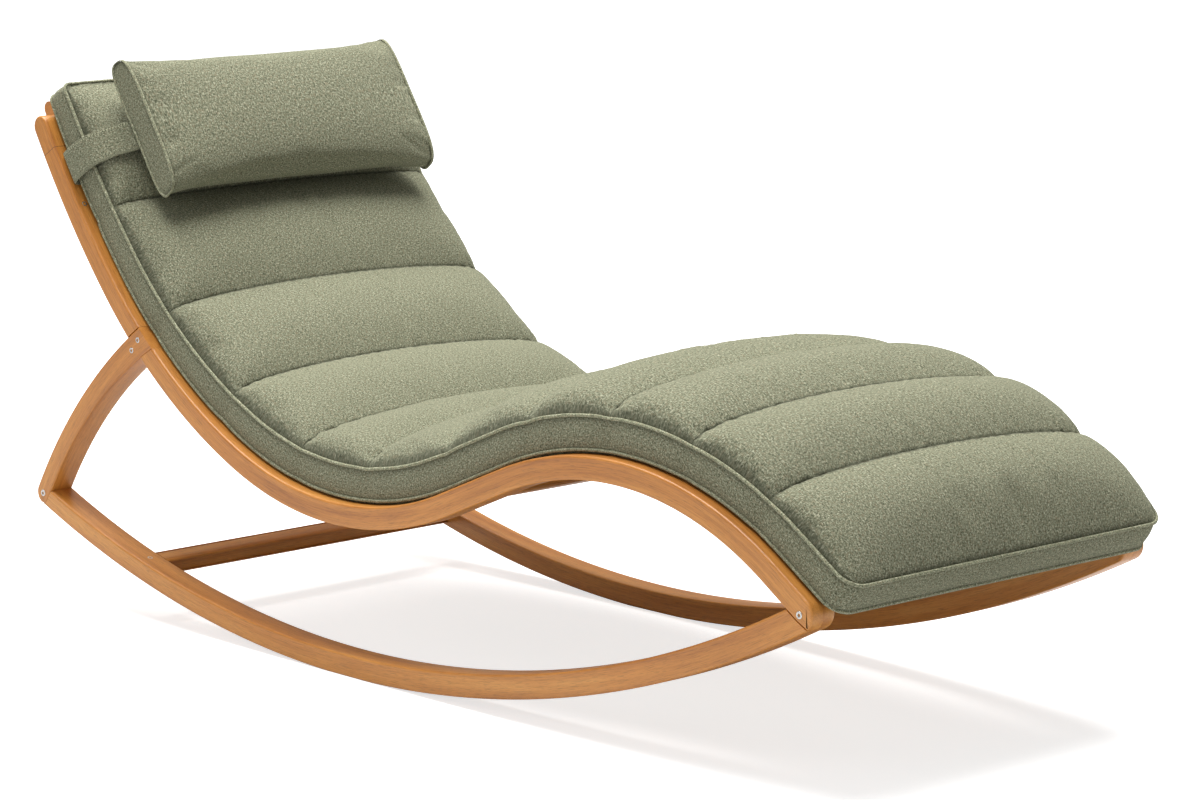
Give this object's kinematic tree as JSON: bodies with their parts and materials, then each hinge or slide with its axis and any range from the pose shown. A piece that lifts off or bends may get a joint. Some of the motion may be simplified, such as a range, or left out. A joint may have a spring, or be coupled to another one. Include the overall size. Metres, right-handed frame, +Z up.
{
  "type": "rocking chaise lounge",
  "caption": "Rocking chaise lounge: S-curved slatted wooden seat rails bolted to two long rocker runners, with a channelled full-length cushion and a strap-hung head pillow.",
  "frame": {"origin": "On the floor, below the middle of the lounge's overall length and width.", "axes": "+X runs along the lounge towards the foot end, +Y across it to the sitter's left, +Z up."},
  "size_m": [1.6578, 0.6216, 0.8009],
  "materials": {
    "wood": "satin",
    "steel": "satin",
    "fabric": "matte"
  },
  "bodies": {
    "frame": {"rail_left": "wood", "rocker_left": "wood", "strut_left": "wood", "rail_right": "wood", "rocker_right": "wood", "strut_right": "wood", "slat_1": "wood", "slat_2": "wood", "slat_3": "wood", "slat_4": "wood", "slat_5": "wood", "slat_6": "wood", "slat_7": "wood", "slat_8": "wood", "slat_9": "wood", "slat_10": "wood", "slat_11": "wood", "foot_rail": "wood", "head_rail": "wood", "back_rail": "wood", "rear_stretcher": "wood", "foot_bolt_left": "steel", "foot_nut_left": "steel", "rear_bolt_left": "steel", "rear_nut_left": "steel", "strut_screw_upper_left": "steel", "strut_screw_lower_left": "steel", "slat_screw_left": "steel", "stretcher_screw_left": "steel", "foot_bolt_right": "steel", "foot_nut_right": "steel", "rear_bolt_right": "steel", "rear_nut_right": "steel", "strut_screw_upper_right": "steel", "strut_screw_lower_right": "steel", "slat_screw_right": "steel", "stretcher_screw_right": "steel", "cushion": "fabric"},
    "headrest": {"pillow": "fabric", "pillow_strap": "fabric"}
  },
  "joints": [
    {"name": "headrest_slide", "type": "hinge", "parent": "frame", "child": "headrest", "pos_m": [0.46246, 0, 1.44627], "axis": [0, 1, 0], "range_deg": [-1.2, 1.6]}
  ]
}
